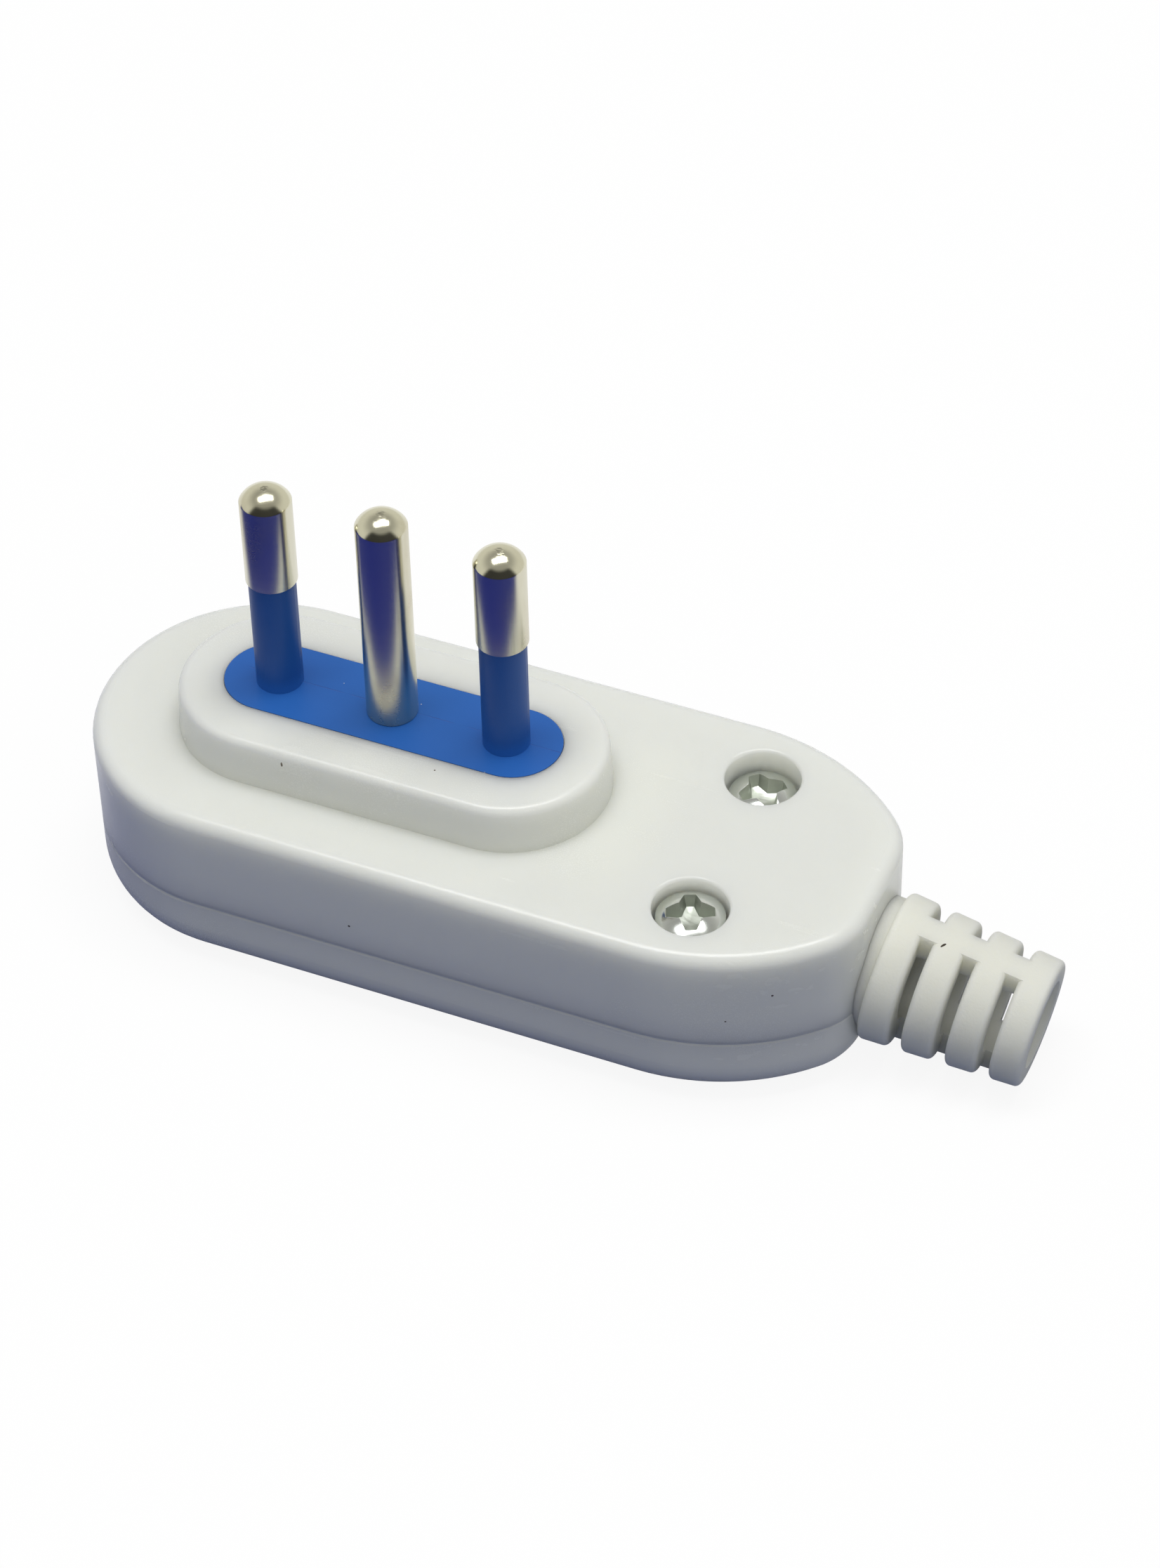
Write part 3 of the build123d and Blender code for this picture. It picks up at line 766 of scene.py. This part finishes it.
def floor_and_backdrop(height):
    """A wide plain floor, white to the camera, with a soft shadow.

    Light that bounces off it takes the dark blue of what the photo's object stood on, bluer towards the tail
    and pale behind the object. Metal sees a darker blue on the near side, and white on the far side.
    """
    half_size, glow = 4.0, 0.9
    seen_tone, metal_tone = (0.96, 0.96, 0.96), (0.018, 0.028, 0.255)
    tail_tone, cord_tone, behind_tone = (0.06, 0.1, 0.31), (0.034, 0.066, 0.195), (0.36, 0.38, 0.44)
    mesh = bpy.data.meshes.new("floor")
    corners = [(half_size * x, half_size * y, height) for x, y in ((-1, -1), (1, -1), (1, 1), (-1, 1))]
    mesh.from_pydata(corners, [], [(0, 1, 2, 3)])
    floor = bpy.data.objects.new("floor", mesh)
    bpy.context.scene.collection.objects.link(floor)
    material = bpy.data.materials.new("floor_pale")
    tree = shader_nodes(material)
    ray = tree.nodes.new("ShaderNodeLightPath").outputs
    place = separated(tree, object_vector(tree))
    far_side = smooth_step(tree, place["Y"], low=-0.018, high=0.018)
    in_metal = math_node(tree, "MULTIPLY", ray["Is Glossy Ray"], far_side)
    to_camera = math_node(tree, "MAXIMUM", ray["Is Camera Ray"], ray["Is Transmission Ray"])
    seen = math_node(tree, "MAXIMUM", to_camera, in_metal)
    tone = mix_color(tree, smooth_step(tree, place["X"], low=-0.07, high=0.0), tail_tone, cord_tone)
    tone = mix_color(tree, smooth_step(tree, place["Y"], low=0.004, high=0.03), tone, behind_tone)
    tone = mix_color(tree, ray["Is Glossy Ray"], tone, metal_tone)
    paper = tree.nodes.new("ShaderNodeBsdfDiffuse")
    link(tree, mix_color(tree, seen, tone, seen_tone), paper.inputs["Color"])
    white = tree.nodes.new("ShaderNodeEmission")
    white.inputs["Strength"].default_value = 1.0
    share = math_node(tree, "MULTIPLY", seen, glow)
    surface = mix_shaders(tree, share, paper.outputs[0], white.outputs[0])
    link(tree, surface, tree.nodes.new("ShaderNodeOutputMaterial").inputs["Surface"])
    mesh.materials.append(material)


def studio_world(low_level, high_level, fill_level):
    """Soft light, stronger from above, with a warm lobe from the right front, and white to the camera.

    Metal sees a cream room instead, dimmer overhead and with a dark low band in front.
    """
    soft_color, warm_color, room_color = (0.97, 0.98, 1.0), (1.0, 0.99, 0.9), (1.0, 0.985, 0.92)
    right_front, front = (0.62, -0.52, 0.59), (0.4, -0.917, 0.0)
    room_level, overhead_level, band_depth = 0.8, 0.34, 0.95
    world = bpy.data.worlds.new("studio")
    bpy.context.scene.world = world
    tree = shader_nodes(world)
    ray = tree.nodes.new("ShaderNodeLightPath").outputs
    direction = tree.nodes.new("ShaderNodeTexCoord").outputs["Generated"]
    upward = separated(tree, direction)["Z"]
    level = smooth_step(tree, upward, 0.0, 0.9, low_level, high_level)
    toward_lobe = vector_math(tree, "DOT_PRODUCT", direction, right_front)
    lobe = smooth_step(tree, toward_lobe, 0.45, 1.0, 0.0, fill_level)
    lit = tree.nodes.new("ShaderNodeAddShader")
    link(tree, background(tree, soft_color, level), lit.inputs[0])
    link(tree, background(tree, warm_color, lobe), lit.inputs[1])
    toward_front = smooth_step(tree, vector_math(tree, "DOT_PRODUCT", direction, front), low=0.28, high=0.5)
    low_down = smooth_step(tree, upward, 0.68, 0.86, band_depth, 0.0)
    dark_band = math_node(tree, "MULTIPLY", toward_front, low_down)
    overhead = smooth_step(tree, upward, 0.35, 0.97, room_level, overhead_level)
    dim = math_node(tree, "MULTIPLY", overhead, math_node(tree, "SUBTRACT", 1.0, dark_band))
    room = background(tree, room_color, dim)
    around = mix_shaders(tree, ray["Is Glossy Ray"], lit.outputs[0], room)
    seen = math_node(tree, "MAXIMUM", ray["Is Camera Ray"], ray["Is Transmission Ray"])
    whole = mix_shaders(tree, seen, around, background(tree, (1.0, 1.0, 1.0), 1.0))
    link(tree, whole, tree.nodes.new("ShaderNodeOutputWorld").inputs["Surface"])


def standing(right, up, back, place):
    """The matrix of a camera or a lamp at a place, which looks away from its back."""
    return Matrix.Translation(Vector(place)) @ Matrix((right, up, back)).transposed().to_4x4()


def soft_box(name, place, aim, long_side, size, power):
    """An oblong soft box over the object, its long side along a given direction."""
    lamp = bpy.data.lights.new(name, "AREA")
    lamp.shape = "RECTANGLE"
    lamp.size, lamp.size_y = size
    lamp.energy = power
    back = (Vector(place) - Vector(aim)).normalized()
    along = Vector(long_side)
    along = (along - along.dot(back) * back).normalized()
    stand = bpy.data.objects.new(name, lamp)
    stand.matrix_world = standing(along, back.cross(along), back, place)
    bpy.context.scene.collection.objects.link(stand)


def camera():
    """The photograph's view: focal length and place worked out from the pins' known sizes."""
    right = Vector((0.92178931, 0.38728219, -0.01780378))
    up = Vector((-0.25621529, 0.64300924, 0.72172907))
    back = Vector((0.29096081, -0.66072054, 0.69194666))
    place = Vector((116.180, -228.631, 236.997)) * MM
    data = bpy.data.cameras.new("camera")
    data.sensor_fit = "AUTO"
    data.sensor_width = 36.0
    data.lens = 104.79
    data.clip_start, data.clip_end = 0.01, 20.0
    view = bpy.data.objects.new("camera", data)
    view.matrix_world = standing(right, up, back, place)
    bpy.context.scene.collection.objects.link(view)
    bpy.context.scene.camera = view


camera()
floor_and_backdrop(cad_box[0].z)
studio_world(low_level=0.235, high_level=0.36, fill_level=0.47)
soft_box("top_light", place=(0.0, 0.04, 0.87), aim=(0.01, 0, 0), long_side=(0.80, 0.60, 0), size=(0.74, 0.28),
         power=4.9)
bpy.context.scene.view_settings.view_transform = "Standard"
